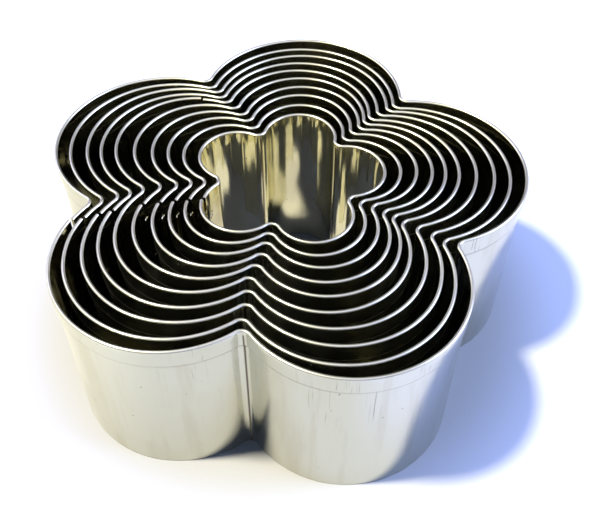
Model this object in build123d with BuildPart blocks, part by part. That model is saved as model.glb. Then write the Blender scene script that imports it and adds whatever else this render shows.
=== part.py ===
from build123d import *
import math
import os

# A nest of flower cutters, each one strip of thin steel bent round five petals.
# The origin is the middle of the largest cutter on the table, with +Z up and the
# valley between its two front petals towards -Y. Every cutter stands on Z = 0.

# The nest, largest and smallest cutter, measured to the inside face of the strip
cutter_count = 10
petal_count = 5
cutter_height = 45.0
largest_tip_radius = 60.2
smallest_tip_radius = 23.5
largest_valley_radius = 45.2
smallest_valley_radius = 16.5
valley_bend_radius = 2.4

# The strip and the hem folded outward along its top edge
sheet = 0.3
hem_height = 5.0
hem_gap = 0.25

# The lapped ends: one end stops inside, the other runs behind it as a tongue
lap_length = 4.4
lap_gap = 0.12
lap_bend_margin = 0.6
hem_end_gap = 0.8
tongue_drop = 0.3

# The spot welds through the lap
weld_count = 3
weld_radius = 1.1
weld_dimple = 0.06
weld_clearance = 0.02
weld_top_inset = 2.2
weld_foot_inset = 6.0
cut_overrun = 1.0

# How each cutter lies in the one round it: sideways, backward and turned, as
# shares of the free play there, then the petal that holds its seam, counted
# anticlockwise from the back one
nest_shares = [
    (0.0, 0.0, 0.0, 2),
    (-0.2, -0.4, -0.6, 2),
    (0.2, 0.9, -0.2, 2),
    (-0.4, 0.5, 0.0, 2),
    (-0.3, 0.6, -0.4, 1),
    (0.8, 0.6, -0.15, 2),
    (0.8, 0.3, -0.05, 2),
    (0.2, 0.4, 0.1, 2),
    (0.2, -0.2, -0.25, 2),
    (0.2, 0.1, -0.2, 2),
]

hem_width = 2 * sheet + hem_gap
lap_step = sheet + lap_gap
seam_reach = lap_length + lap_bend_margin
tongue_height = cutter_height - hem_height - tongue_drop
petal_pitch = 360 / petal_count
back_petal_angle = 90


class Flower:
    """The outline of one cutter's inside face, with its seam petal along local +X."""

    def __init__(self, index):
        share = index / (cutter_count - 1)
        self.tip = largest_tip_radius + share * (smallest_tip_radius - largest_tip_radius)
        self.valley = largest_valley_radius + share * (smallest_valley_radius - largest_valley_radius)

        # A petal's arc and a valley's bend meet on the line between their centres
        half_pitch = math.radians(petal_pitch / 2)
        bend_centre = self.valley + valley_bend_radius
        reach = self.tip + valley_bend_radius
        self.petal_centre = (reach**2 - bend_centre**2) / (2 * (reach - bend_centre * math.cos(half_pitch)))
        self.petal_radius = self.tip - self.petal_centre
        across = bend_centre * math.sin(half_pitch)
        along = bend_centre * math.cos(half_pitch) - self.petal_centre
        self.half_sweep = math.degrees(math.atan2(across, along))
        self.valley_turn = 2 * self.half_sweep - petal_pitch

        # The end with the tongue starts on a circle that touches the petal's at its far
        # flank and stands one lap step outside it at the seam
        self.seam_angle = self.arc_angle(seam_reach) - self.half_sweep
        apart = math.cos(math.radians(self.half_sweep - self.seam_angle))
        outside = self.petal_radius + lap_step
        swell = outside**2 - self.petal_radius**2
        self.lap_shift = swell / (2 * (self.petal_radius - outside * apart))
        self.lap_radius = self.petal_radius + self.lap_shift

    def arc_angle(self, length):
        """The angle that a length takes along a petal, in degrees."""
        return math.degrees(length / self.petal_radius)

    def lap_centre(self):
        """The centre of the outer end's circle."""
        return (
            self.petal_centre - self.lap_shift * math.cos(math.radians(self.half_sweep)),
            -self.lap_shift * math.sin(math.radians(self.half_sweep)),
        )

    def lap_point(self, angle):
        """A point of the outer end's inside face, by its angle round the lap centre."""
        x, y = self.lap_centre()
        turn = math.radians(angle)
        return (x + self.lap_radius * math.cos(turn), y + self.lap_radius * math.sin(turn))

    def lap_thickness(self, angle):
        """From the inner end's inside face to the outer end's outside face."""
        apart = math.cos(math.radians(angle - self.half_sweep))
        across = self.lap_shift * apart
        reach = math.sqrt(across**2 + self.lap_radius**2 - self.lap_shift**2) - across
        return reach + sheet - self.petal_radius


def free_play(outer, inner):
    """The space left between two nested cutters, square to their petals' flanks."""
    flank = math.cos(math.radians(outer.half_sweep))
    step = outer.petal_radius - inner.petal_radius + flank * (outer.petal_centre - inner.petal_centre)
    return step - hem_width - lap_step


def nest_places(flowers):
    """One plane for each cutter, on the table, with +X towards its seam petal."""
    planes = []
    x = 0.0
    y = 0.0
    turn = 0.0
    outer = flowers[0]
    for index, flower in enumerate(flowers):
        side_share, back_share, turn_share, seam_petal = nest_shares[index % len(nest_shares)]
        play = free_play(outer, flower)
        x += side_share * play
        y += back_share * play
        turn += turn_share * math.degrees(play / flower.tip)
        heading = math.radians(back_petal_angle + seam_petal * petal_pitch + turn)
        planes.append(Plane(origin=(x, y, 0), x_dir=(math.cos(heading), math.sin(heading), 0)))
        outer = flower
    return planes


def upright_plane(path):
    """A plane square to a path's start: X away from the flower's middle, Y up."""
    tangent = path % 0
    return Plane(origin=path @ 0, x_dir=tangent.cross(Vector(0, 0, 1)), z_dir=-tangent)


def weld_heights():
    """Heights of the spot welds, evenly spaced up the tongue."""
    rise = tongue_height - weld_top_inset - weld_foot_inset
    return [weld_foot_inset + rise * step / (weld_count - 1) for step in range(weld_count)]


def weld_planes(flower, place):
    """Planes on the inner end's inside face, X up and Z outward through the lap."""
    angle = flower.arc_angle(seam_reach - lap_length / 2) - flower.half_sweep
    ray = Vector(math.cos(math.radians(angle)), math.sin(math.radians(angle)), 0)
    outward = place.from_local_coords(ray) - place.origin
    foot = place.from_local_coords(Vector(flower.petal_centre, 0, 0) + ray * flower.petal_radius)
    thickness = flower.lap_thickness(angle)
    planes = []
    for height in weld_heights():
        planes.append(Plane(origin=foot + Vector(0, 0, height), x_dir=(0, 0, 1), z_dir=outward))
    return planes, thickness


def make_strip(flower, place):
    """One steel strip: wall, folded hem, and the tongue that laps behind its other end."""
    hem_start = flower.seam_angle + flower.arc_angle(hem_end_gap)
    tongue_start = flower.seam_angle - flower.arc_angle(lap_length)
    fold = hem_width / 2
    shoulder = cutter_height - fold

    with BuildPart() as strip:
        # The whole way round, from the outer end's hem to the inner end
        with BuildLine(place) as round_path:
            heading = math.radians(hem_start + 90)
            bend = JernArc(
                start=flower.lap_point(hem_start),
                tangent=(math.cos(heading), math.sin(heading)),
                radius=flower.lap_radius,
                arc_size=flower.half_sweep - hem_start,
            )
            for petal in range(petal_count):
                last = petal == petal_count - 1
                sweep_angle = flower.arc_angle(seam_reach) if last else 2 * flower.half_sweep
                bend = JernArc(bend @ 1, bend % 1, valley_bend_radius, -flower.valley_turn)
                bend = JernArc(bend @ 1, bend % 1, flower.petal_radius, sweep_angle)
        with BuildSketch(upright_plane(round_path.line)) as hemmed_section:
            with BuildLine():
                wall_face = Line((0, 0), (0, shoulder))
                crown = ThreePointArc(wall_face @ 1, (fold, cutter_height), (hem_width, shoulder))
                hem_face = Line(crown @ 1, (hem_width, cutter_height - hem_height))
                hem_edge = Line(hem_face @ 1, (hem_width - sheet, cutter_height - hem_height))
                hem_back = Line(hem_edge @ 1, (hem_width - sheet, shoulder))
                fold_inside = ThreePointArc(hem_back @ 1, (fold, cutter_height - sheet), (sheet, shoulder))
                wall_back = Line(fold_inside @ 1, (sheet, 0))
                Line(wall_back @ 1, wall_face @ 0)
            make_face()
        sweep(path=round_path.line)

        # The tongue, plain and cut below the hem
        with BuildLine(place) as tongue_path:
            heading = math.radians(tongue_start + 90)
            JernArc(
                start=flower.lap_point(tongue_start),
                tangent=(math.cos(heading), math.sin(heading)),
                radius=flower.lap_radius,
                arc_size=hem_start - tongue_start,
            )
        with BuildSketch(upright_plane(tongue_path.line)) as tongue_section:
            Rectangle(sheet, tongue_height, align=(Align.MIN, Align.MIN))
        sweep(path=tongue_path.line)

        # Room for the welds through both ends
        planes, thickness = weld_planes(flower, place)
        for plane in planes:
            with BuildSketch(plane.offset(-cut_overrun)):
                Circle(weld_radius)
            extrude(amount=thickness + 2 * cut_overrun, mode=Mode.SUBTRACT)
    return strip.part


def make_spot_welds(flower, place):
    """The fused spots through the lap, each dished a little at both faces."""
    planes, thickness = weld_planes(flower, place)
    radius = weld_radius - weld_clearance
    with BuildPart() as welds:
        for plane in planes:
            with BuildSketch(Plane(origin=plane.origin, x_dir=plane.x_dir, z_dir=-plane.y_dir)) as profile:
                with BuildLine():
                    inner_dish = ThreePointArc((-radius, 0), (0, weld_dimple), (radius, 0))
                    side = Line(inner_dish @ 1, (radius, thickness))
                    outer_dish = ThreePointArc(side @ 1, (0, thickness - weld_dimple), (-radius, thickness))
                    Line(outer_dish @ 1, inner_dish @ 0)
                make_face()
                split(bisect_by=Plane.YZ, keep=Keep.TOP)
            revolve(axis=Axis(plane.origin, plane.z_dir))
    return welds.part


os.makedirs("parts", exist_ok=True)
flowers = [Flower(index) for index in range(cutter_count)]
for number, (flower, place) in enumerate(zip(flowers, nest_places(flowers)), start=1):
    strip = make_strip(flower, place)
    strip.label = f"cutter_{number}_strip"
    export_step(strip, f"parts/{strip.label}.step")

    spot_welds = make_spot_welds(flower, place)
    spot_welds.label = f"cutter_{number}_spot_welds"
    export_step(spot_welds, f"parts/{spot_welds.label}.step")
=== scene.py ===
"""Looks of a nest of ten flower cookie cutters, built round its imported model.

Each cutter is one strip of thin bright steel. Its top edge is folded outward as a
hem, and its two ends lap on the flank of one petal, where spot welds hold them.
All sizes are in metres, in the model's own frame: +Z up, the valley between the
two front petals towards -Y.
"""

import logging
import math
from dataclasses import dataclass, field
from enum import Enum
from typing import Any, Callable, Sequence

import bmesh
import bpy
from mathutils import Matrix, Vector


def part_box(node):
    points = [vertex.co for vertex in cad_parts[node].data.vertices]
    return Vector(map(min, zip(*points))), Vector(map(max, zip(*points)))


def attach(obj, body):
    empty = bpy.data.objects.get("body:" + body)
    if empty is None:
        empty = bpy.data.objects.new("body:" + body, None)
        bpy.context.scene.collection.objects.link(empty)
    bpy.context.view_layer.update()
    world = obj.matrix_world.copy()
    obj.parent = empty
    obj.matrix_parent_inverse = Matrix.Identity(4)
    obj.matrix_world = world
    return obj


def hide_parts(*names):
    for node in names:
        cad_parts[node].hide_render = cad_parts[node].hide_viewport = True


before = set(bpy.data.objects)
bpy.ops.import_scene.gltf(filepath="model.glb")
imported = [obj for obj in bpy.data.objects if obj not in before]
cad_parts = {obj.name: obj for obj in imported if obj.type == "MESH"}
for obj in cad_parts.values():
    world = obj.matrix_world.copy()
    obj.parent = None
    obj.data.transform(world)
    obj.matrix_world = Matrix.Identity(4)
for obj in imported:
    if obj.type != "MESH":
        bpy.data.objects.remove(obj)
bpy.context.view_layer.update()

LOG = logging.getLogger("cutters")
MM = 0.001
MERGE_REACH = 0.001 * MM
# How far a piece may differ from its solid before it is logged as a warning
SIZE_TOLERANCE = 0.3 * MM
# How far the strips stay under their solids' top, so that no piece leaves the solids' box
TOP_ROOM = 0.002 * MM
WHITE = (1.0, 1.0, 1.0)
Triple = tuple[float, float, float]


class Attribute(Enum):
    """The values that a strip's mesh carries for its finish."""

    VALLEY = "valley"
    SEAM = "seam"
    RING = "ring"
    HEM = "hem"
    TONGUE = "tongue"
    WORN = "worn"
    OUTWARD = "outward"


class Slot(Enum):
    """The record's material slots."""

    STRIP = "strip"
    SPOT_WELD = "spot_weld"


def combining(operation: str, turned: bool = False) -> Callable[["Shade", Any], "Shade"]:
    """Makes a method that puts a Math node on a shade and another value.

    Args:
        operation: The node's operation.
        turned: Whether the other value comes first.

    Returns:
        The method.
    """

    def combine(shade: "Shade", other: Any) -> "Shade":
        """One Math node on both."""
        return shade.math(operation, *((other, shade) if turned else (shade, other)))

    return combine


class Shade:
    """One value or colour in a material, which Python's operators combine."""

    def __init__(self, graph: "Graph", socket: bpy.types.NodeSocket) -> None:
        """Wraps a socket.

        Args:
            graph: The material's graph, where new nodes are added.
            socket: The output socket that gives the value.
        """
        self.graph = graph
        self.socket = socket

    def math(self, operation: str, *values: Any) -> "Shade":
        """One Math node on these values."""
        return self.graph.node("ShaderNodeMath", {"operation": operation}, dict(enumerate(values)))

    __add__, __radd__ = combining("ADD"), combining("ADD", turned=True)
    __sub__, __rsub__ = combining("SUBTRACT"), combining("SUBTRACT", turned=True)
    __mul__ = combining("MULTIPLY")
    __truediv__, __rtruediv__ = combining("DIVIDE"), combining("DIVIDE", turned=True)
    least, most = combining("MINIMUM"), combining("MAXIMUM")

    def __abs__(self) -> "Shade":
        """The size without its sign."""
        return self.math("ABSOLUTE", self)

    def ramp(self, low: float, high: float, start: float = 0.0, end: float = 1.0) -> "Shade":
        """A smooth step, held at its ends.

        Args:
            low: The value where the step begins.
            high: The value where the step ends.
            start: The result up to low.
            end: The result from high on.

        Returns:
            The stepped value.
        """
        return self.graph.node(
            "ShaderNodeMapRange",
            {"interpolation_type": "SMOOTHSTEP"},
            {"Value": self, "From Min": low, "From Max": high, "To Min": start, "To Max": end},
        )


class Graph:
    """A material's or world's nodes, cleared and built up by name."""

    def __init__(self, tree: bpy.types.NodeTree) -> None:
        """Takes over a node tree.

        Args:
            tree: The tree, which is emptied.
        """
        self.tree = tree
        tree.nodes.clear()

    def node(self, kind: str, settings: dict[str, Any], inputs: dict[Any, Any], output: Any = 0) -> Shade:
        """Adds one node.

        Args:
            kind: The node's type.
            settings: Its settings by name.
            inputs: Values or shades for its sockets, by name or number.
            output: The name or number of the socket to return.

        Returns:
            The output, ready for more maths.
        """
        made = self.tree.nodes.new(kind)
        for name, value in settings.items():
            setattr(made, name, value)
        for name, value in inputs.items():
            if isinstance(value, Shade):
                self.tree.links.new(value.socket, made.inputs[name])
            else:
                made.inputs[name].default_value = value
        return Shade(self, made.outputs[output])

    def attribute(self, name: Attribute) -> Shade:
        """A value that the mesh carries."""
        settings = {"attribute_type": "GEOMETRY", "attribute_name": name.value}
        return self.node("ShaderNodeAttribute", settings, {}, "Fac")

    def coordinates(self, kind: str = "Object") -> Shade:
        """The coordinates of the point that is shaded."""
        return self.node("ShaderNodeTexCoord", {}, {}, kind)

    def axis(self, point: Shade, number: int) -> Shade:
        """One coordinate of a point: 0 is X, 1 is Y and 2 is Z."""
        return self.node("ShaderNodeSeparateXYZ", {}, {0: point}, number)

    def ray(self, kind: str) -> Shade:
        """A value of the ray that meets the point."""
        return self.node("ShaderNodeLightPath", {}, {}, kind)

    def light(self, colour: Triple, strength: Any) -> Shade:
        """A shader that gives light."""
        return self.node("ShaderNodeEmission", {}, {"Color": (*colour, 1.0), "Strength": strength})

    def place(self, scale: Sequence[float], shift: Sequence[float] = (0.0, 0.0, 0.0)) -> Shade:
        """Object coordinates, stretched and moved."""
        point = self.coordinates()
        return self.node("ShaderNodeMapping", {}, {"Vector": point, "Location": shift, "Scale": scale})

    def noise(self, vector: Shade, scale: float, detail: float = 2.0, roughness: float = 0.5) -> Shade:
        """Noise from 0 to 1."""
        inputs = {"Vector": vector, "Scale": scale, "Detail": detail, "Roughness": roughness}
        return self.node("ShaderNodeTexNoise", {"noise_dimensions": "3D"}, inputs, 0)

    def mix(self, factor: Any, first: Any, second: Any) -> Shade:
        """Blends two colours or shades; the factor is the share of the second."""
        sockets = {0: factor, 6: self._colour(first), 7: self._colour(second)}
        return self.node("ShaderNodeMix", {"data_type": "RGBA"}, sockets, 2)

    @staticmethod
    def _colour(value: Any) -> Any:
        """A colour with its alpha, or the shade as it is."""
        return value if isinstance(value, Shade) else (*value, 1.0)

    def finish(self, kind: str, shader: Shade) -> None:
        """Joins a shader to the tree's output."""
        out = self.tree.nodes.new(kind)
        self.tree.links.new(shader.socket, out.inputs["Surface"])


@dataclass(frozen=True)
class StripSteel:
    """Bright cold-rolled strip, a little scratched, spotted and smudged by use."""

    name: str = "strip_steel"
    colour: Triple = (0.62, 0.62, 0.548)
    inner_lit_colour: Triple = (0.90, 0.87, 0.67)
    smudge_colour: Triple = (0.54, 0.525, 0.44)
    speck_colour: Triple = (0.22, 0.20, 0.17)
    crease_shade_colour: Triple = (0.06, 0.035, 0.02)
    dark_edge_and_shade_colour: Triple = (0.20, 0.18, 0.15)
    tint_colour: Triple = (0.46, 0.38, 0.26)
    smooth: float = 0.13
    dull: float = 0.22
    inner_smooth: float = 0.55
    grain: float = 0.5
    crease_width: float = 0.48 * MM
    crease_top: float = 43.2 * MM
    hem_foot: float = 40.0 * MM
    crown_foot: float = 44.5 * MM
    crown_rough: float = 0.30
    score_from: float = 16.0 * MM
    score_full: float = 30.0 * MM
    score_spot: Triple = (0.0225, -0.0538, 0.0350)
    score_reach: float = 11.0 * MM

    def make(self) -> bpy.types.Material:
        """Builds the material.

        Returns:
            The strip's material.
        """
        material = bpy.data.materials.new(self.name)
        material.use_nodes = True
        graph = Graph(material.node_tree)
        point = graph.coordinates()
        height = graph.axis(point, 2)

        # Smudges from handling, and the faint cloud that rolling leaves
        smudge = graph.noise(graph.place((1.0, 1.0, 0.6)), 60.0, 5.0, 0.6).ramp(0.48, 0.70)
        cloud = graph.noise(graph.place((1.0, 1.0, 1.6), (0.3, 0.1, 0.2)), 150.0, 3.0, 0.55)

        # Upright scratches where one cutter slides in another: a faint patchy haze, and
        # a few fine dark ones up by the hem
        hem = graph.attribute(Attribute.HEM)
        outside = hem.ramp(0.10, 0.30)
        worn = graph.attribute(Attribute.WORN) * outside
        streak = graph.noise(graph.place((1.0, 1.0, 0.04)), 1500.0, 2.0, 0.6)
        patch = graph.noise(graph.place((1.0, 1.0, 1.0), (1.7, 0.4, 0.9)), 60.0, 2.0).ramp(0.46, 0.60)
        patch = patch * worn
        scratch = streak.ramp(0.60, 0.70) * patch
        fine = graph.noise(graph.place((1.0, 1.0, 0.026), (2.1, 0.8, 0.3)), 3000.0, 1.0, 0.5)
        ends = {0: point, 1: self.score_spot}
        spot = graph.node("ShaderNodeVectorMath", {"operation": "DISTANCE"}, ends, "Value")
        area = graph.noise(graph.place((1.0, 1.0, 0.4), (3.3, 1.9, 0.7)), 95.0, 2.0).ramp(0.56, 0.64)
        area = area.most(spot.ramp(self.score_reach * 0.5, self.score_reach, 1.0, 0.0))
        score = fine.ramp(0.655, 0.70) * worn * area * height.ramp(self.score_from, self.score_full)

        # Fine lines along the strip from rolling, and upright ripples from bending it
        rolled = graph.noise(graph.place((0.05, 0.05, 1.0)), 3800.0, 2.0, 0.5)
        ripple = graph.noise(graph.place((1.0, 1.0, 0.03), (0.6, 0.2, 0.4)), 420.0, 2.0, 0.5)

        # Small dark spots
        cells = {"feature": "F1", "distance": "EUCLIDEAN"}
        dots = graph.node("ShaderNodeTexVoronoi", cells, {"Vector": point, "Scale": 330.0}, "Distance")
        spread = graph.noise(graph.place((1.0, 1.0, 1.0), (4.0, 2.0, 1.0)), 500.0, 1.0).ramp(0.54, 0.60)
        speck = dots.ramp(0.045, 0.10, 1.0, 0.0) * spread

        # Painted shade: a dark line along a valley's fold, below the hem
        valley = graph.attribute(Attribute.VALLEY)
        wander = graph.noise(graph.place((0.2, 0.2, 1.0)), 260.0, 3.0)
        line = valley.ramp(0.0, self.crease_width, 1.0, 0.0) * wander.ramp(0.20, 0.40, 0.75, 1.0)
        line = line * height.ramp(self.crease_top, self.crease_top + MM, 1.0, 0.0)

        # A dark line along the hem's cut edge, and painted shade on the wall just under the hem
        above = height - self.hem_foot
        edge = hem.ramp(0.60, 0.75) * abs(above).ramp(0.06 * MM, 0.22 * MM, 1.0, 0.0)
        corner = hem.ramp(0.15, 0.30) * hem.ramp(0.45, 0.60, 1.0, 0.0)
        corner = corner * above.ramp(-1.3 * MM, -0.5 * MM)
        corner = corner * above.ramp(0.0, 0.1 * MM, 1.0, 0.0)
        dark_edge_and_shade = edge.most(corner * 0.8) * wander.ramp(0.20, 0.60, 0.35, 1.0)
        # Painted contact shadow: darker along the foot, where the strip stands on the table
        dark_edge_and_shade = dark_edge_and_shade.most(height.ramp(0.12 * MM, 0.38 * MM, 1.0, 0.0))

        # Soft upright bands, where the sheet was drawn through the bending tool
        band = graph.noise(graph.place((1.0, 1.0, 0.12), (0.9, 2.6, 0.5)), 210.0, 3.0, 0.6)
        band = band.ramp(0.50, 0.66) * outside

        # Heat tint by the welds
        seam = graph.attribute(Attribute.SEAM)
        tint = seam.ramp(0.0, 1.0) * cloud.ramp(0.35, 0.65)

        # Painted light: the inner faces are painted brighter and warmer than the outer ones, for the lit
        # reflections inside the nest
        colour = graph.mix(outside, self.inner_lit_colour, self.colour)
        colour = graph.mix((smudge * 0.5).most(band * 0.6), colour, self.smudge_colour)
        colour = graph.mix(tint * 0.35, colour, self.tint_colour)
        colour = graph.mix(speck * 0.8, colour, self.speck_colour)
        colour = graph.mix(scratch * 0.2, colour, self.smudge_colour)
        colour = graph.mix(score * 0.6, colour, self.speck_colour)
        # The hem's dark cut edge, with painted shade under the hem and along the foot
        colour = graph.mix(dark_edge_and_shade * 0.55, colour, self.dark_edge_and_shade_colour)
        # Painted shade along the valley folds
        colour = graph.mix(line * 0.9, colour, self.crease_shade_colour)

        rough = self.smooth + smudge * (self.dull - self.smooth) + scratch * 0.12 + speck * 0.3
        rough = rough + (cloud - 0.5) * 0.06 + line * 0.3 + dark_edge_and_shade * 0.25
        rough = rough * outside.ramp(0.0, 1.0, self.inner_smooth, 1.0)
        crown = height.ramp(self.crown_foot, self.crown_foot + 0.2 * MM)
        rough = rough * (1.0 - crown) + crown * self.crown_rough
        relief = rolled * 0.12 + streak * 0.25 * patch + speck * -0.8 + cloud * 0.5
        relief = relief + ripple * outside.ramp(0.0, 1.0, 3.6, 0.9) - score * 0.8
        bump = graph.node(
            "ShaderNodeBump", {}, {"Strength": 0.06, "Distance": 0.3 * MM, "Height": relief}
        )
        shader = graph.node(
            "ShaderNodeBsdfPrincipled",
            {},
            {
                "Base Color": colour,
                "Metallic": 1.0,
                "Roughness": rough,
                "Normal": bump,
                "Anisotropic": self.grain,
                "Anisotropic Rotation": 0.25,
            },
        )
        graph.finish("ShaderNodeOutputMaterial", shader)
        return material


@dataclass(frozen=True)
class WeldSteel:
    """Steel that was melted and pressed: duller, with a ring of heat tint."""

    name: str = "weld_steel"
    centre_colour: Triple = (0.62, 0.61, 0.60)
    ring_colour: Triple = (0.36, 0.30, 0.24)
    rough: float = 0.34

    def make(self) -> bpy.types.Material:
        """Builds the material.

        Returns:
            The welds' material.
        """
        material = bpy.data.materials.new(self.name)
        material.use_nodes = True
        graph = Graph(material.node_tree)
        ring = graph.attribute(Attribute.RING)
        grain = graph.noise(graph.place((1.0, 1.0, 1.0)), 2600.0, 3.0, 0.6)
        colour = graph.mix(ring.ramp(0.55, 0.95), self.centre_colour, self.ring_colour)
        dents = {"Strength": 0.2, "Distance": 0.05 * MM, "Height": grain}
        bump = graph.node("ShaderNodeBump", {}, dents)
        shader = graph.node(
            "ShaderNodeBsdfPrincipled",
            {},
            {
                "Base Color": colour,
                "Metallic": 1.0,
                "Roughness": self.rough + (grain - 0.5) * 0.2,
                "Normal": bump,
            },
        )
        graph.finish("ShaderNodeOutputMaterial", shader)
        return material


@dataclass(frozen=True)
class TablePaper:
    """The pale surface under the nest, which takes the nest's shadow.

    For camera and mirror rays it also gives faint light of its own: blue away from the
    nest, which mirrors see on the right only, and grey inside the smallest cutter. Far
    off it is plain white to them. Mirrors alone see a warm light on the left.
    """

    name: str = "table_paper"
    colour: Triple = (0.90, 0.895, 0.88)
    fibre_colour: Triple = (0.78, 0.77, 0.75)
    glow_colour: Triple = (0.15, 0.20, 0.50)
    glow_from: float = 54.0 * MM
    glow_full: float = 82.0 * MM
    cool_from: float = 20.0 * MM
    cool_full: float = 60.0 * MM
    warm_colour: Triple = (0.32, 0.31, 0.27)
    warm_from: float = -15.0 * MM
    warm_full: float = -72.0 * MM
    inside_colour: Triple = (0.026, 0.026, 0.031)
    inside_reach: float = 21.0 * MM
    inside_fade: float = 4.0 * MM
    nest_edge: float = 52.0 * MM
    nest_fade: float = 8.0 * MM
    far_from: float = 0.16
    far_full: float = 0.60

    def make(self) -> bpy.types.Material:
        """Builds the material.

        Returns:
            The floor's material.
        """
        material = bpy.data.materials.new(self.name)
        material.use_nodes = True
        graph = Graph(material.node_tree)
        fibre = graph.noise(graph.place((1.0, 1.0, 1.0)), 900.0, 3.0, 0.6)
        tone = graph.mix(fibre.ramp(0.3, 0.7, 0.0, 0.06), self.colour, self.fibre_colour)
        near = graph.node("ShaderNodeBsdfPrincipled", {}, {"Base Color": tone, "Roughness": 0.85})
        point = graph.coordinates()
        away = graph.node("ShaderNodeVectorMath", {"operation": "LENGTH"}, {0: point}, "Value")
        across = graph.axis(point, 0)
        seen, shown = graph.ray("Is Camera Ray"), graph.ray("Is Glossy Ray")
        either = seen.most(shown)

        glow = seen.most(shown * across.ramp(self.cool_from, self.cool_full))
        glow = glow * away.ramp(self.glow_from, self.glow_full)
        warm = shown * across.ramp(self.warm_full, self.warm_from, 1.0, 0.0)
        warm = warm * away.ramp(self.nest_edge, self.nest_edge + self.nest_fade)
        inside = either * away.ramp(self.inside_reach, self.inside_reach + self.inside_fade, 1.0, 0.0)
        lights = ((self.glow_colour, glow), (self.warm_colour, warm), (self.inside_colour, inside))
        for colour, strength in lights:
            near = graph.node("ShaderNodeAddShader", {}, {0: near, 1: graph.light(colour, strength)})

        far = either * away.ramp(self.far_from, self.far_full)
        shader = graph.node("ShaderNodeMixShader", {}, {0: far, 1: near, 2: graph.light(WHITE, 1.0)})
        graph.finish("ShaderNodeOutputMaterial", shader)
        return material


@dataclass(frozen=True)
class NestSizes:
    """The driving sizes of the nest, as the solids have them."""

    cutter_count: int = 10
    petal_count: int = 5
    height: float = 45.0 * MM
    largest_tip: float = 60.2 * MM
    smallest_tip: float = 23.5 * MM
    largest_valley: float = 45.2 * MM
    smallest_valley: float = 16.5 * MM
    bend_radius: float = 2.4 * MM
    sheet: float = 0.3 * MM
    hem_height: float = 5.0 * MM
    hem_gap: float = 0.25 * MM
    lap_length: float = 4.4 * MM
    lap_gap: float = 0.12 * MM
    lap_bend_margin: float = 0.6 * MM
    hem_end_gap: float = 0.8 * MM
    tongue_drop: float = 0.3 * MM
    weld_count: int = 3
    weld_radius: float = 1.1 * MM
    weld_top_inset: float = 2.2 * MM
    weld_foot_inset: float = 6.0 * MM
    back_petal_angle: float = math.pi / 2
    nest_shares: tuple[tuple[float, float, float, int], ...] = (
        (0.0, 0.0, 0.0, 2),
        (-0.2, -0.4, -0.6, 2),
        (0.2, 0.9, -0.2, 2),
        (-0.4, 0.5, 0.0, 2),
        (-0.3, 0.6, -0.4, 1),
        (0.8, 0.6, -0.15, 2),
        (0.8, 0.3, -0.05, 2),
        (0.2, 0.4, 0.1, 2),
        (0.2, -0.2, -0.25, 2),
        (0.2, 0.1, -0.2, 2),
    )

    @property
    def hem_width(self) -> float:
        """The hem's whole thickness."""
        return 2 * self.sheet + self.hem_gap

    @property
    def lap_step(self) -> float:
        """How far the outer end stands outside the inner one."""
        return self.sheet + self.lap_gap

    @property
    def seam_reach(self) -> float:
        """From a valley's bend to the inner end."""
        return self.lap_length + self.lap_bend_margin

    @property
    def tongue_height(self) -> float:
        """The tongue's height, below the hem."""
        return self.height - self.hem_height - self.tongue_drop

    @property
    def pitch(self) -> float:
        """The angle from one petal to the next."""
        return 2 * math.pi / self.petal_count


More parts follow.
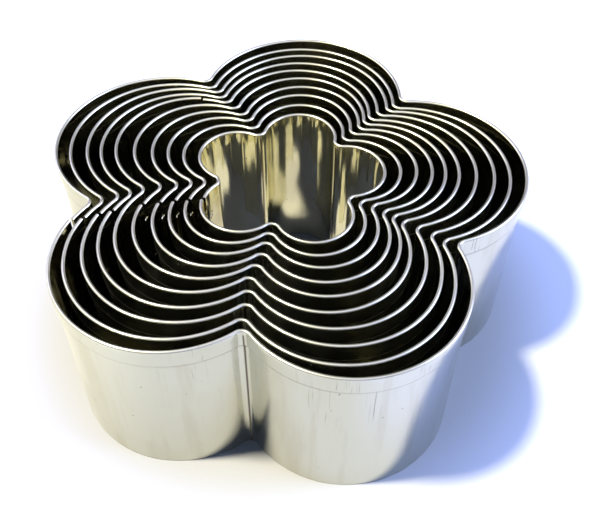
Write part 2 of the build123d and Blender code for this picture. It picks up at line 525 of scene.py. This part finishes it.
@dataclass
class FlowerOutline:
    """The inside face of one cutter, seen from above, with its seam petal along local +X."""

    sizes: NestSizes
    index: int
    tip: float = field(init=False)
    petal_centre: float = field(init=False)
    petal_radius: float = field(init=False)
    half_sweep: float = field(init=False)
    valley_turn: float = field(init=False)
    seam_angle: float = field(init=False)
    lap_shift: float = field(init=False)

    def __post_init__(self) -> None:
        """Works out the petals and bends from the tip and valley radii."""
        sizes = self.sizes
        share = self.index / (sizes.cutter_count - 1)
        self.tip = sizes.largest_tip + share * (sizes.smallest_tip - sizes.largest_tip)
        valley = sizes.largest_valley + share * (sizes.smallest_valley - sizes.largest_valley)
        bend_centre = valley + sizes.bend_radius
        reach = self.tip + sizes.bend_radius
        half_pitch = sizes.pitch / 2
        apart = reach - bend_centre * math.cos(half_pitch)
        self.petal_centre = (reach**2 - bend_centre**2) / (2 * apart)
        self.petal_radius = self.tip - self.petal_centre
        across = bend_centre * math.sin(half_pitch)
        along = bend_centre * math.cos(half_pitch) - self.petal_centre
        self.half_sweep = math.atan2(across, along)
        self.valley_turn = 2 * self.half_sweep - sizes.pitch
        self.seam_angle = sizes.seam_reach / self.petal_radius - self.half_sweep
        outside = self.petal_radius + sizes.lap_step
        flank = math.cos(self.half_sweep - self.seam_angle)
        swell = outside**2 - self.petal_radius**2
        self.lap_shift = swell / (2 * (self.petal_radius - outside * flank))

    @property
    def lap_radius(self) -> float:
        """The radius of the outer end's circle."""
        return self.petal_radius + self.lap_shift

    @property
    def hem_start(self) -> float:
        """The angle on the lap circle where the outer end's hem starts."""
        return self.seam_angle + self.sizes.hem_end_gap / self.petal_radius

    @property
    def tongue_start(self) -> float:
        """The angle on the lap circle where the tongue starts."""
        return self.seam_angle - self.sizes.lap_length / self.petal_radius

    @property
    def weld_angle(self) -> float:
        """The angle on the seam petal where the welds stand."""
        middle = self.sizes.seam_reach - self.sizes.lap_length / 2
        return middle / self.petal_radius - self.half_sweep

    def lap_centre(self) -> Vector:
        """The centre of the outer end's circle."""
        return Vector(
            (
                self.petal_centre - self.lap_shift * math.cos(self.half_sweep),
                -self.lap_shift * math.sin(self.half_sweep),
            )
        )

    def lap_point(self, angle: float) -> Vector:
        """A point of the outer end's inside face, by its angle on the lap circle."""
        return self.lap_centre() + self.lap_radius * Vector((math.cos(angle), math.sin(angle)))

    def lap_thickness(self, angle: float) -> float:
        """From the inner end's inside face to the outer end's outside face."""
        across = self.lap_shift * math.cos(angle - self.half_sweep)
        reach = math.sqrt(across**2 + self.lap_radius**2 - self.lap_shift**2) - across
        return reach + self.sizes.sheet - self.petal_radius


@dataclass
class Place:
    """Where a cutter stands in the nest: its middle, and the way to its seam petal."""

    middle: Vector
    heading: float

    def put(self, point: Vector, height: float = 0.0) -> Vector:
        """A local point on the table, moved into the nest and raised."""
        turned = Matrix.Rotation(self.heading, 2) @ point
        return Vector((self.middle.x + turned.x, self.middle.y + turned.y, height))


def nest_places(sizes: NestSizes, outlines: Sequence[FlowerOutline]) -> list[Place]:
    """Finds how each cutter lies in the one round it.

    Args:
        sizes: The nest's sizes, with the shares of the free play.
        outlines: The cutters' outlines, largest first.

    Returns:
        One place for each cutter.
    """
    places = []
    middle = Vector((0.0, 0.0))
    turn = 0.0
    outer = outlines[0]
    for outline, (side, back, twist, seam_petal) in zip(outlines, sizes.nest_shares):
        step = outer.petal_radius - outline.petal_radius
        step += math.cos(outer.half_sweep) * (outer.petal_centre - outline.petal_centre)
        play = step - sizes.hem_width - sizes.lap_step
        middle = middle + play * Vector((side, back))
        turn += twist * play / outline.tip
        heading = sizes.back_petal_angle + seam_petal * sizes.pitch + turn
        places.append(Place(middle.copy(), heading))
        outer = outline
    return places


@dataclass
class Trail:
    """Points along a run of arcs, with the length and the valleys met on the way."""

    point: Vector
    heading: float
    step: float = 0.55 * MM
    turn_step: float = math.radians(4.5)
    points: list[Vector] = field(default_factory=list)
    lengths: list[float] = field(default_factory=list)
    valleys: list[float] = field(default_factory=list)

    def __post_init__(self) -> None:
        """Notes the start."""
        self.points.append(self.point.copy())
        self.lengths.append(0.0)

    def arc(self, radius: float, turn: float, valley: bool = False) -> None:
        """Walks one arc.

        Args:
            radius: The arc's radius.
            turn: How far it turns to the left, in radians.
            valley: Whether it is a valley's bend, whose middle is noted.
        """
        side = math.copysign(radius, turn)
        centre = self.point + side * Vector((-math.sin(self.heading), math.cos(self.heading)))
        length = radius * abs(turn)
        count = 2 * math.ceil(max(length / self.step, abs(turn) / self.turn_step) / 2)
        start = self.lengths[-1]
        for number in range(1, count + 1):
            heading = self.heading + turn * number / count
            self.points.append(centre + side * Vector((math.sin(heading), -math.cos(heading))))
            self.lengths.append(start + length * number / count)
        if valley:
            self.valleys.append(start + length / 2)
        self.heading += turn
        self.point = self.points[-1].copy()


def add_object(name: str, data: Any) -> bpy.types.Object:
    """Puts a new object into the scene.

    Args:
        name: The object's name.
        data: Its mesh, light or camera.

    Returns:
        The object.
    """
    made = bpy.data.objects.new(name, data)
    bpy.context.scene.collection.objects.link(made)
    return made


class GeometryTree:
    """A geometry nodes tree with named inputs, which makes one piece's mesh."""

    def __init__(self, name: str, inputs: dict[str, tuple[str, Any]]) -> None:
        """Starts the tree.

        Args:
            name: The tree's name.
            inputs: For each named input, its socket type and first value.
        """
        self.tree = bpy.data.node_groups.new(name, "GeometryNodeTree")
        self.graph = Graph(self.tree)
        face = self.tree.interface
        face.new_socket("Geometry", in_out="INPUT", socket_type="NodeSocketGeometry")
        face.new_socket("Geometry", in_out="OUTPUT", socket_type="NodeSocketGeometry")
        self.identifiers: dict[str, str] = {}
        for label, (kind, value) in inputs.items():
            socket = face.new_socket(label, in_out="INPUT", socket_type=kind)
            if value is not None:
                socket.default_value = value
            self.identifiers[label] = socket.identifier
        self.entry = self.tree.nodes.new("NodeGroupInput")

    def given(self, label: str) -> Shade:
        """A named input."""
        return Shade(self.graph, self.entry.outputs[label])

    def node(self, kind: str, settings: dict[str, Any], inputs: dict[Any, Any], output: Any = 0) -> Shade:
        """Adds a node, as a material's graph does."""
        return self.graph.node(kind, settings, inputs, output)

    def point(self, x: Any, y: Any, z: Any = 0.0) -> Shade:
        """A point from its coordinates."""
        return self.node("ShaderNodeCombineXYZ", {}, {0: x, 1: y, 2: z})

    def join(self, parts: Sequence[Shade]) -> Shade:
        """Several geometries as one."""
        joined = self.tree.nodes.new("GeometryNodeJoinGeometry")
        for part in reversed(parts):
            self.tree.links.new(part.socket, joined.inputs[0])
        return Shade(self.graph, joined.outputs[0])

    def named(self, name: Attribute, kind: str = "FLOAT") -> Shade:
        """A value that the geometry carries."""
        return self.node("GeometryNodeInputNamedAttribute", {"data_type": kind}, {"Name": name.value})

    def stored(self, geometry: Shade, name: Attribute, kind: str, value: Shade) -> Shade:
        """The geometry with a value kept on its points."""
        inputs = {"Geometry": geometry, "Name": name.value, "Value": value}
        return self.node("GeometryNodeStoreNamedAttribute", {"data_type": kind, "domain": "POINT"}, inputs)

    def end(self, geometry: Shade) -> None:
        """Realizes, gives the material and joins the result to the output."""
        dressed = self.node(
            "GeometryNodeSetMaterial", {}, {"Geometry": geometry, "Material": self.given("Material")}
        )
        real = self.node("GeometryNodeRealizeInstances", {}, {"Geometry": dressed})
        out = self.tree.nodes.new("NodeGroupOutput")
        self.tree.links.new(real.socket, out.inputs[0])

    def bake(self, name: str, start: bpy.types.Mesh, values: dict[str, Any]) -> bpy.types.Object:
        """Runs the tree once and keeps its result as a plain mesh.

        Args:
            name: The new object's name.
            start: The mesh that the tree starts from.
            values: Values for the named inputs.

        Returns:
            The object, in place, without its modifier.
        """
        made = add_object(name, start)
        modifier = made.modifiers.new(self.tree.name, "NODES")
        modifier.node_group = self.tree
        for label, value in values.items():
            modifier[self.identifiers[label]] = value
        depsgraph = bpy.context.evaluated_depsgraph_get()
        evaluated = made.evaluated_get(depsgraph)
        mesh = bpy.data.meshes.new_from_object(evaluated, preserve_all_data_layers=True, depsgraph=depsgraph)
        made.modifiers.clear()
        made.data = mesh
        mesh.name = name
        bpy.data.meshes.remove(start)
        return made


def close_mesh(piece: bpy.types.Object, sharp: float) -> None:
    """Merges doubles, turns the faces outward and shades smooth but for sharp edges.

    Args:
        piece: The piece to clean.
        sharp: The angle from which an edge stays sharp, in radians.
    """
    mesh = piece.data
    work = bmesh.new()
    work.from_mesh(mesh)
    bmesh.ops.remove_doubles(work, verts=work.verts, dist=MERGE_REACH)
    bmesh.ops.recalc_face_normals(work, faces=work.faces)
    for face in work.faces:
        face.smooth = True
    work.to_mesh(mesh)
    work.free()
    mesh.set_sharp_from_angle(angle=sharp)


class HemmedStripTree(GeometryTree):
    """Sweeps the hemmed strip round its outline, and the plain tongue behind its other end."""

    def __init__(self, sizes: NestSizes) -> None:
        """Builds the tree.

        Args:
            sizes: The sizes that the inputs start from.
        """
        number = "NodeSocketFloat"
        super().__init__(
            "hemmed_strip",
            {
                "Height": (number, sizes.height - TOP_ROOM),
                "Tongue Height": (number, sizes.tongue_height),
                "Sheet": (number, sizes.sheet),
                "Hem Width": (number, sizes.hem_width),
                "Hem Height": (number, sizes.hem_height),
                "Hem Lean": (number, 0.12 * MM),
                "Rows": ("NodeSocketInt", 12),
                "Wave Depth": (number, 0.11 * MM),
                "Wave Size": (number, 16.0 * MM),
                "Seed": (number, 0.0),
                "Material": ("NodeSocketMaterial", None),
            },
        )
        path = self._outward_path()
        parted = self.tree.nodes.new("GeometryNodeSeparateGeometry")
        self.tree.links.new(path.socket, parted.inputs["Geometry"])
        self.tree.links.new(self.named(Attribute.TONGUE).socket, parted.inputs["Selection"])
        tongue, body = (Shade(self.graph, output) for output in parted.outputs)
        swept = [
            self._sweep(body, self._mark_hem(self._hemmed_section())),
            self._sweep(tongue, self._mark_hem(self._tongue_section())),
        ]
        self.end(self._wave(self.join(swept)))

    def _outward_path(self) -> Shade:
        """The path as an upright curve that carries its outward direction."""
        curve = self.node("GeometryNodeMeshToCurve", {}, {0: self.given("Geometry")})
        curve = self.node("GeometryNodeSetCurveNormal", {"mode": "Z_UP"}, {0: curve})
        tangent = self.node("GeometryNodeInputTangent", {}, {})
        outward = self.node(
            "ShaderNodeVectorMath", {"operation": "CROSS_PRODUCT"}, {0: tangent, 1: (0.0, 0.0, 1.0)}
        )
        return self.stored(curve, Attribute.OUTWARD, "FLOAT_VECTOR", outward)

    def _line(self, start: Shade, end: Shade, rows: Any = 1) -> Shade:
        """A straight run of the section in so many steps."""
        line = self.node("GeometryNodeCurvePrimitiveLine", {}, {"Start": start, "End": end})
        return self.node("GeometryNodeResampleCurve", {}, {"Curve": line, "Count": rows + 1})

    def _arc(self, start: Shade, middle: Shade, end: Shade, resolution: int) -> Shade:
        """A round run of the section through three points."""
        inputs = {"Resolution": resolution, "Start": start, "Middle": middle, "End": end}
        return self.node("GeometryNodeCurveArc", {"mode": "POINTS"}, inputs)

    def _loop(self, runs: Sequence[Shade]) -> Shade:
        """The runs joined to one closed curve."""
        edges = self.node("GeometryNodeCurveToMesh", {}, {"Curve": self.join(runs)})
        merged = self.node("GeometryNodeMergeByDistance", {}, {"Geometry": edges, "Distance": MERGE_REACH})
        return self.node("GeometryNodeMeshToCurve", {}, {0: merged})

    def _mark_hem(self, section: Shade) -> Shade:
        """Notes how far each point of a section lies out from the wall's inner face."""
        place = self.node("GeometryNodeInputPosition", {}, {})
        out = self.graph.axis(place, 0) / self.given("Hem Width")
        return self.stored(section, Attribute.HEM, "FLOAT", out)

    def _hemmed_section(self) -> Shade:
        """The wall, its crown and the folded hem; X is outward and -Y is up."""
        width, sheet = self.given("Hem Width"), self.given("Sheet")
        height, rows = self.given("Height"), self.given("Rows")
        fold = width * 0.5
        shoulder = fold - height
        hem_foot = self.given("Hem Height") - height
        lean = self.given("Hem Lean")
        inner_top = self.point(0.0, shoulder)
        outer_top = self.point(width, shoulder)
        hem_inner_top = self.point(width - sheet, shoulder)
        wall_outer_top = self.point(sheet, shoulder)
        hem_edge_out = self.point(width - lean, hem_foot)
        hem_edge_in = self.point(width - lean - sheet, hem_foot)
        foot_in, foot_out = self.point(0.0, 0.0), self.point(sheet, 0.0)
        return self._loop(
            [
                self._line(foot_in, inner_top, rows),
                self._arc(inner_top, self.point(fold, 0.0 - height), outer_top, 11),
                self._line(outer_top, hem_edge_out, 3),
                self._line(hem_edge_out, hem_edge_in),
                self._line(hem_edge_in, hem_inner_top),
                self._arc(hem_inner_top, self.point(fold, sheet - height), wall_outer_top, 5),
                self._line(wall_outer_top, foot_out, rows),
                self._line(foot_out, foot_in),
            ]
        )

    def _tongue_section(self) -> Shade:
        """The plain strip of the tongue."""
        sheet, rows = self.given("Sheet"), self.given("Rows")
        top = 0.0 - self.given("Tongue Height")
        inner_top, outer_top = self.point(0.0, top), self.point(sheet, top)
        foot_in, foot_out = self.point(0.0, 0.0), self.point(sheet, 0.0)
        return self._loop(
            [
                self._line(foot_in, inner_top, rows),
                self._line(inner_top, outer_top),
                self._line(outer_top, foot_out, rows),
                self._line(foot_out, foot_in),
            ]
        )

    def _sweep(self, path: Shade, section: Shade) -> Shade:
        """The section swept along the path, closed at both ends."""
        inputs = {"Curve": path, "Profile Curve": section, "Fill Caps": True}
        return self.node("GeometryNodeCurveToMesh", {}, inputs)

    def _wave(self, mesh: Shade) -> Shade:
        """Pushes the sheet in by up to the wave's depth, but not at the seam."""
        position = self.node("GeometryNodeInputPosition", {}, {})
        flat = self.node(
            "ShaderNodeVectorMath", {"operation": "MULTIPLY"}, {0: position, 1: (1.0, 1.0, 0.22)}
        )
        noise = self.node(
            "ShaderNodeTexNoise",
            {"noise_dimensions": "4D"},
            {
                "Vector": flat,
                "W": self.given("Seed") * 7.3,
                "Scale": 1.0 / self.given("Wave Size"),
                "Detail": 1.5,
                "Roughness": 0.42,
            },
        )
        depth = noise.ramp(0.28, 0.72) * self.given("Wave Depth") * (1.0 - self.named(Attribute.SEAM))
        outward = self.named(Attribute.OUTWARD, "FLOAT_VECTOR")
        push = {0: outward, "Scale": 0.0 - depth}
        offset = self.node("ShaderNodeVectorMath", {"operation": "SCALE"}, push)
        return self.node("GeometryNodeSetPosition", {}, {"Geometry": mesh, "Offset": offset})


class WeldSpotTree(GeometryTree):
    """Puts a weld button through the lap at each point of the start mesh."""

    def __init__(self) -> None:
        """Builds the tree."""
        super().__init__(
            "weld_spots",
            {"Button": ("NodeSocketObject", None), "Material": ("NodeSocketMaterial", None)},
        )
        button = self.node("GeometryNodeObjectInfo", {}, {"Object": self.given("Button")}, "Geometry")
        outward = self.named(Attribute.OUTWARD, "FLOAT_VECTOR")
        turned = self.node("FunctionNodeAlignRotationToVector", {"axis": "Z"}, {"Vector": outward})
        inputs = {"Points": self.given("Geometry"), "Instance": button, "Rotation": turned}
        self.end(self.node("GeometryNodeInstanceOnPoints", {}, inputs))


def add_attribute(mesh: bpy.types.Mesh, name: Attribute, values: Sequence[float]) -> None:
    """Stores one value on each point of a mesh."""
    layer = mesh.attributes.new(name.value, "FLOAT", "POINT")
    layer.data.foreach_set("value", list(values))


@dataclass
class FlowerCutter:
    """One cutter: its hemmed strip and the spot welds through its seam."""

    sizes: NestSizes
    outline: FlowerOutline
    place: Place
    number: int
    weld_rise: float = 0.035 * MM
    inner_wear: float = 0.3
    seam_fade: float = 5.0 * MM
    strip_sharp: float = math.radians(40.0)
    weld_sharp: float = math.radians(60.0)
    button_steps: int = 28
    # A weld from its middle out, as shares of its radius and of its rise
    button_profile: tuple[tuple[float, float], ...] = (
        (0.0, 0.25),
        (0.3, 0.2),
        (0.5, 0.3),
        (0.66, 0.75),
        (0.76, 1.0),
        (0.86, 0.85),
        (0.95, 0.3),
        (1.0, -0.4),
    )

    @property
    def body(self) -> str:
        """The CAD body that both pieces ride on."""
        return f"cutter_{self.number}"

    def _round_trail(self) -> Trail:
        """The whole way round, from the outer end's hem to the inner end."""
        outline, sizes = self.outline, self.sizes
        trail = Trail(outline.lap_point(outline.hem_start), outline.hem_start + math.pi / 2)
        trail.arc(outline.lap_radius, outline.half_sweep - outline.hem_start)
        for petal in range(sizes.petal_count):
            trail.arc(sizes.bend_radius, -outline.valley_turn, valley=True)
            last = petal == sizes.petal_count - 1
            sweep = sizes.seam_reach / outline.petal_radius if last else 2 * outline.half_sweep
            trail.arc(outline.petal_radius, sweep)
        return trail

    def _tongue_trail(self) -> Trail:
        """The tongue, up to where the outer end's hem starts."""
        outline = self.outline
        trail = Trail(outline.lap_point(outline.tongue_start), outline.tongue_start + math.pi / 2)
        trail.arc(outline.lap_radius, outline.hem_start - outline.tongue_start)
        return trail

    def _path_mesh(self) -> bpy.types.Mesh:
        """The two trails as one mesh of edges that carries the finish's values."""
        body, tongue = self._round_trail(), self._tongue_trail()
        points = [self.place.put(point) for point in body.points + tongue.points]
        split = len(body.points)
        edges = [(at, at + 1) for at in range(len(points) - 1) if at != split - 1]
        mesh = bpy.data.meshes.new(f"{self.body}_path")
        mesh.from_pydata(points, edges, [])
        total = body.lengths[-1]
        nearest = [min(abs(length - valley) for valley in body.valleys) for length in body.lengths]
        far = 10.0 * MM
        ends = [min(length, total - length) for length in body.lengths]
        seam = [self._fade(end) for end in ends]
        add_attribute(mesh, Attribute.VALLEY, nearest + [far] * len(tongue.points))
        add_attribute(mesh, Attribute.SEAM, seam + [1.0] * len(tongue.points))
        add_attribute(mesh, Attribute.TONGUE, [0.0] * split + [1.0] * len(tongue.points))
        add_attribute(mesh, Attribute.WORN, [1.0 if self.number == 1 else self.inner_wear] * len(points))
        return mesh

    def _fade(self, distance: float) -> float:
        """From 1 near an end of the strip to 0 further off."""
        share = (distance - self.sizes.lap_length) / self.seam_fade
        share = min(max(share, 0.0), 1.0)
        return 1.0 - share * share * (3.0 - 2.0 * share)

    def make_strip(self, tree: HemmedStripTree, steel: bpy.types.Material) -> bpy.types.Object:
        """Builds the strip.

        Args:
            tree: The tree that sweeps it.
            steel: Its material.

        Returns:
            The strip, riding on its body in place of its CAD node.
        """
        values = {"Seed": float(self.number), "Material": steel}
        strip = tree.bake(f"{self.body}_bright_strip", self._path_mesh(), values)
        close_mesh(strip, self.strip_sharp)
        return self._declare(strip, f"{self.body}_strip", Slot.STRIP)

    def _button(self) -> bpy.types.Object:
        """One weld, pressed at both faces: a shallow dish with a raised ring."""
        thickness = self.outline.lap_thickness(self.outline.weld_angle)
        radius, profile = self.sizes.weld_radius, self.button_profile
        outer = [(share * radius, thickness + rise * self.weld_rise) for share, rise in profile]
        inner = [(share * radius, -rise * self.weld_rise) for share, rise in reversed(profile)]
        mesh = bpy.data.meshes.new(f"{self.body}_button")
        work = bmesh.new()
        ring = work.verts.layers.float.new(Attribute.RING.value)
        corners = [work.verts.new((x, 0.0, z)) for x, z in outer + inner]
        for corner in corners:
            corner[ring] = corner.co.x / radius
        edges = [work.edges.new(pair) for pair in zip(corners, corners[1:])]
        bmesh.ops.spin(
            work,
            geom=corners + edges,
            cent=(0.0, 0.0, 0.0),
            axis=(0.0, 0.0, 1.0),
            angle=2 * math.pi,
            steps=self.button_steps,
            use_merge=True,
        )
        bmesh.ops.remove_doubles(work, verts=work.verts, dist=2 * MERGE_REACH)
        bmesh.ops.recalc_face_normals(work, faces=work.faces)
        work.to_mesh(mesh)
        work.free()
        return add_object(f"{self.body}_button", mesh)

    def make_welds(self, tree: WeldSpotTree, steel: bpy.types.Material) -> bpy.types.Object:
        """Builds the spot welds.

        Args:
            tree: The tree that places them.
            steel: Their material.

        Returns:
            The welds, riding on their body in place of their CAD node.
        """
        outline, sizes = self.outline, self.sizes
        ray = Vector((math.cos(outline.weld_angle), math.sin(outline.weld_angle)))
        foot = Vector((outline.petal_centre, 0.0)) + ray * outline.petal_radius
        rise = sizes.tongue_height - sizes.weld_top_inset - sizes.weld_foot_inset
        count = sizes.weld_count
        heights = [sizes.weld_foot_inset + rise * step / (count - 1) for step in range(count)]
        mesh = bpy.data.meshes.new(f"{self.body}_weld_points")
        mesh.from_pydata([self.place.put(foot, height) for height in heights], [], [])
        outward = self.place.put(foot + ray) - self.place.put(foot)
        layer = mesh.attributes.new(Attribute.OUTWARD.value, "FLOAT_VECTOR", "POINT")
        layer.data.foreach_set("vector", list(outward) * len(heights))
        button = self._button()
        welds = tree.bake(f"{self.body}_weld_spots", mesh, {"Button": button, "Material": steel})
        bpy.data.objects.remove(button)
        close_mesh(welds, self.weld_sharp)
        return self._declare(welds, f"{self.body}_spot_welds", Slot.SPOT_WELD)

    def _declare(self, piece: bpy.types.Object, node: str, slot: Slot) -> bpy.types.Object:
        """Puts a finished piece on its body in place of a CAD node, and checks its size."""
        low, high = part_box(node)
        corners = [vertex.co for vertex in piece.data.vertices]
        for axis in range(3):
            along = [corner[axis] for corner in corners]
            apart = max(abs(min(along) - low[axis]), abs(max(along) - high[axis]))
            if apart > SIZE_TOLERANCE:
                LOG.warning("%s is %.2f mm off its solid", piece.name, apart / MM)
        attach(piece, self.body)
        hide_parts(node)
        piece.data.calc_loop_triangles()
        LOG.info("%s: %d triangles, for %s", piece.name, len(piece.data.loop_triangles), node)
        return piece


@dataclass
class CutterNest:
    """The ten cutters, one inside another."""

    sizes: NestSizes = field(default_factory=NestSizes)

    def build(self) -> None:
        """Builds every cutter."""
        outlines = [FlowerOutline(self.sizes, index) for index in range(self.sizes.cutter_count)]
        places = nest_places(self.sizes, outlines)
        steel, weld_steel = StripSteel().make(), WeldSteel().make()
        strip_tree, weld_tree = HemmedStripTree(self.sizes), WeldSpotTree()
        for number, (outline, place) in enumerate(zip(outlines, places), start=1):
            cutter = FlowerCutter(self.sizes, outline, place, number)
            cutter.make_strip(strip_tree, steel)
            cutter.make_welds(weld_tree, weld_steel)


@dataclass
class Table:
    """The pale surface that the nest stands on."""

    half_width: float = 3.0

    def build(self) -> None:
        """Builds the surface, a little below the cutting edges."""
        mesh = bpy.data.meshes.new("table_top")
        work = bmesh.new()
        bmesh.ops.create_grid(work, x_segments=8, y_segments=8, size=self.half_width)
        for corner in work.verts:
            corner.co.z = -0.01 * MM
        work.to_mesh(mesh)
        work.free()
        table = add_object("table_top", mesh)
        mesh.materials.append(TablePaper().make())
        LOG.info("table_top: stage")


def direction(azimuth: float, elevation: float) -> Vector:
    """The way from the nest, by degrees round from the front and up from the table."""
    around, up = math.radians(azimuth), math.radians(elevation)
    return Vector((math.sin(around) * math.cos(up), -math.cos(around) * math.cos(up), math.sin(up)))


@dataclass(frozen=True)
class SoftLamp:
    """A round lamp, aimed at the nest."""

    name: str
    azimuth: float
    elevation: float
    distance: float
    width: float
    radiance: float
    colour: Triple
    aim_height: float = 20.0 * MM

    def build(self) -> None:
        """Adds the lamp; its power follows from its radiance and size."""
        light = bpy.data.lights.new(self.name, "AREA")
        light.shape = "DISK"
        light.size = self.width
        light.energy = self.radiance * math.pi * math.pi * self.width**2 / 4
        light.color = self.colour
        lamp = add_object(self.name, light)
        away = direction(self.azimuth, self.elevation)
        lamp.location = Vector((0.0, 0.0, self.aim_height)) + away * self.distance
        lamp.rotation_mode = "QUATERNION"
        lamp.rotation_quaternion = (-away).to_track_quat("-Z", "Y")


@dataclass(frozen=True)
class Studio:
    """A warm lamp from the left, a cool window on the right, and a room.

    The room is plain white to the camera. Mirrors see it brighter than it lights the
    floor, with colours of its own in front on the left and right, behind, and behind at
    the sides, and dimmer low in front and low behind. All other rays get a weak cool fill.
    """

    lamps: tuple[SoftLamp, ...] = (
        SoftLamp("key_lamp", -74.2, 62.8, 2.0, 0.2, 410.0, (1.0, 0.94, 0.75)),
        SoftLamp("window_lamp", 98.0, 32.0, 1.6, 1.2, 6.7, (0.44, 0.57, 1.0)),
    )
    left_colour: Triple = (1.0, 0.97, 0.82)
    right_colour: Triple = (0.80, 0.84, 1.12)
    back_colour: Triple = (0.50, 0.49, 0.43)
    side_colour: Triple = (2.2, 2.22, 3.0)
    fill_colour: Triple = (0.50, 0.66, 1.0)
    shown: float = 1.5
    fill: float = 0.2
    front_dim: float = 0.85
    back_dim: float = 0.82

    def build(self) -> None:
        """Adds the lamps and the world."""
        for lamp in self.lamps:
            lamp.build()
        world = bpy.data.worlds.new("pale_room")
        world.use_nodes = True
        bpy.context.scene.world = world
        graph = Graph(world.node_tree)
        way = graph.coordinates("Generated")
        x, y, z = (graph.axis(way, number) for number in range(3))
        low_front = y.ramp(-0.7, -0.05, 1.0, 0.0) * z.ramp(0.40, 0.75, 1.0, 0.0)
        low_back = y.ramp(0.15, 0.6) * z.ramp(0.48, 0.96, 1.0, 0.0)
        shape = (1.0 - low_front * self.front_dim) * (1.0 - low_back * self.back_dim)
        glossy = graph.ray("Is Glossy Ray") * (1.0 - graph.ray("Diffuse Depth").least(1.0))
        front = graph.mix(x.ramp(-0.35, 0.35), self.left_colour, self.right_colour)
        back = graph.mix(abs(x).ramp(0.15, 0.42), self.back_colour, self.side_colour)
        room = graph.mix(y.ramp(0.1, 0.5), front, back)
        colour = graph.mix(glossy, self.fill_colour, room)
        strength = shape * (self.fill + glossy * (self.shown - self.fill))
        soft = graph.node("ShaderNodeBackground", {}, {"Color": colour, "Strength": strength})
        white = graph.node("ShaderNodeBackground", {}, {"Color": (*WHITE, 1.0), "Strength": 1.0})
        sockets = {0: graph.ray("Is Camera Ray"), 1: soft, 2: white}
        shader = graph.node("ShaderNodeMixShader", {}, sockets)
        graph.finish("ShaderNodeOutputWorld", shader)


@dataclass(frozen=True)
class PhotoCamera:
    """The photograph's viewpoint: in front, a little to the right and above."""

    azimuth: float = 8.627
    elevation: float = 48.064
    roll: float = 0.36
    lens: float = 49.563
    distance: float = 199.47 * MM
    right_shift: float = 4.61 * MM
    up_shift: float = -19.164 * MM
    aim_height: float = 45.0 * MM

    def build(self) -> None:
        """Adds the camera."""
        roll = math.radians(self.roll)
        back = direction(self.azimuth, self.elevation)
        level = Vector((0.0, 0.0, 1.0)).cross(back).normalized()
        steep = back.cross(level)
        right = math.cos(roll) * level + math.sin(roll) * steep
        up = -math.sin(roll) * level + math.cos(roll) * steep
        spot = self.right_shift * right + self.up_shift * up + self.distance * back
        spot.z += self.aim_height
        data = bpy.data.cameras.new("photo_camera")
        data.lens, data.sensor_width = self.lens, 36.0
        data.clip_start, data.clip_end = 0.01, 20.0
        camera = add_object("photo_camera", data)
        turned = Matrix((right, up, back)).transposed().to_4x4()
        camera.matrix_world = Matrix.Translation(spot) @ turned
        bpy.context.scene.camera = camera


def main() -> None:
    """Builds the camera, the studio and the nest."""
    logging.basicConfig(level=logging.INFO, format="%(message)s")
    scene = bpy.context.scene
    scene.view_settings.view_transform = "Standard"
    scene.cycles.glossy_bounces = 10
    scene.cycles.caustics_reflective = False
    PhotoCamera().build()
    Studio().build()
    Table().build()
    CutterNest().build()


if __name__ == "__main__":
    main()
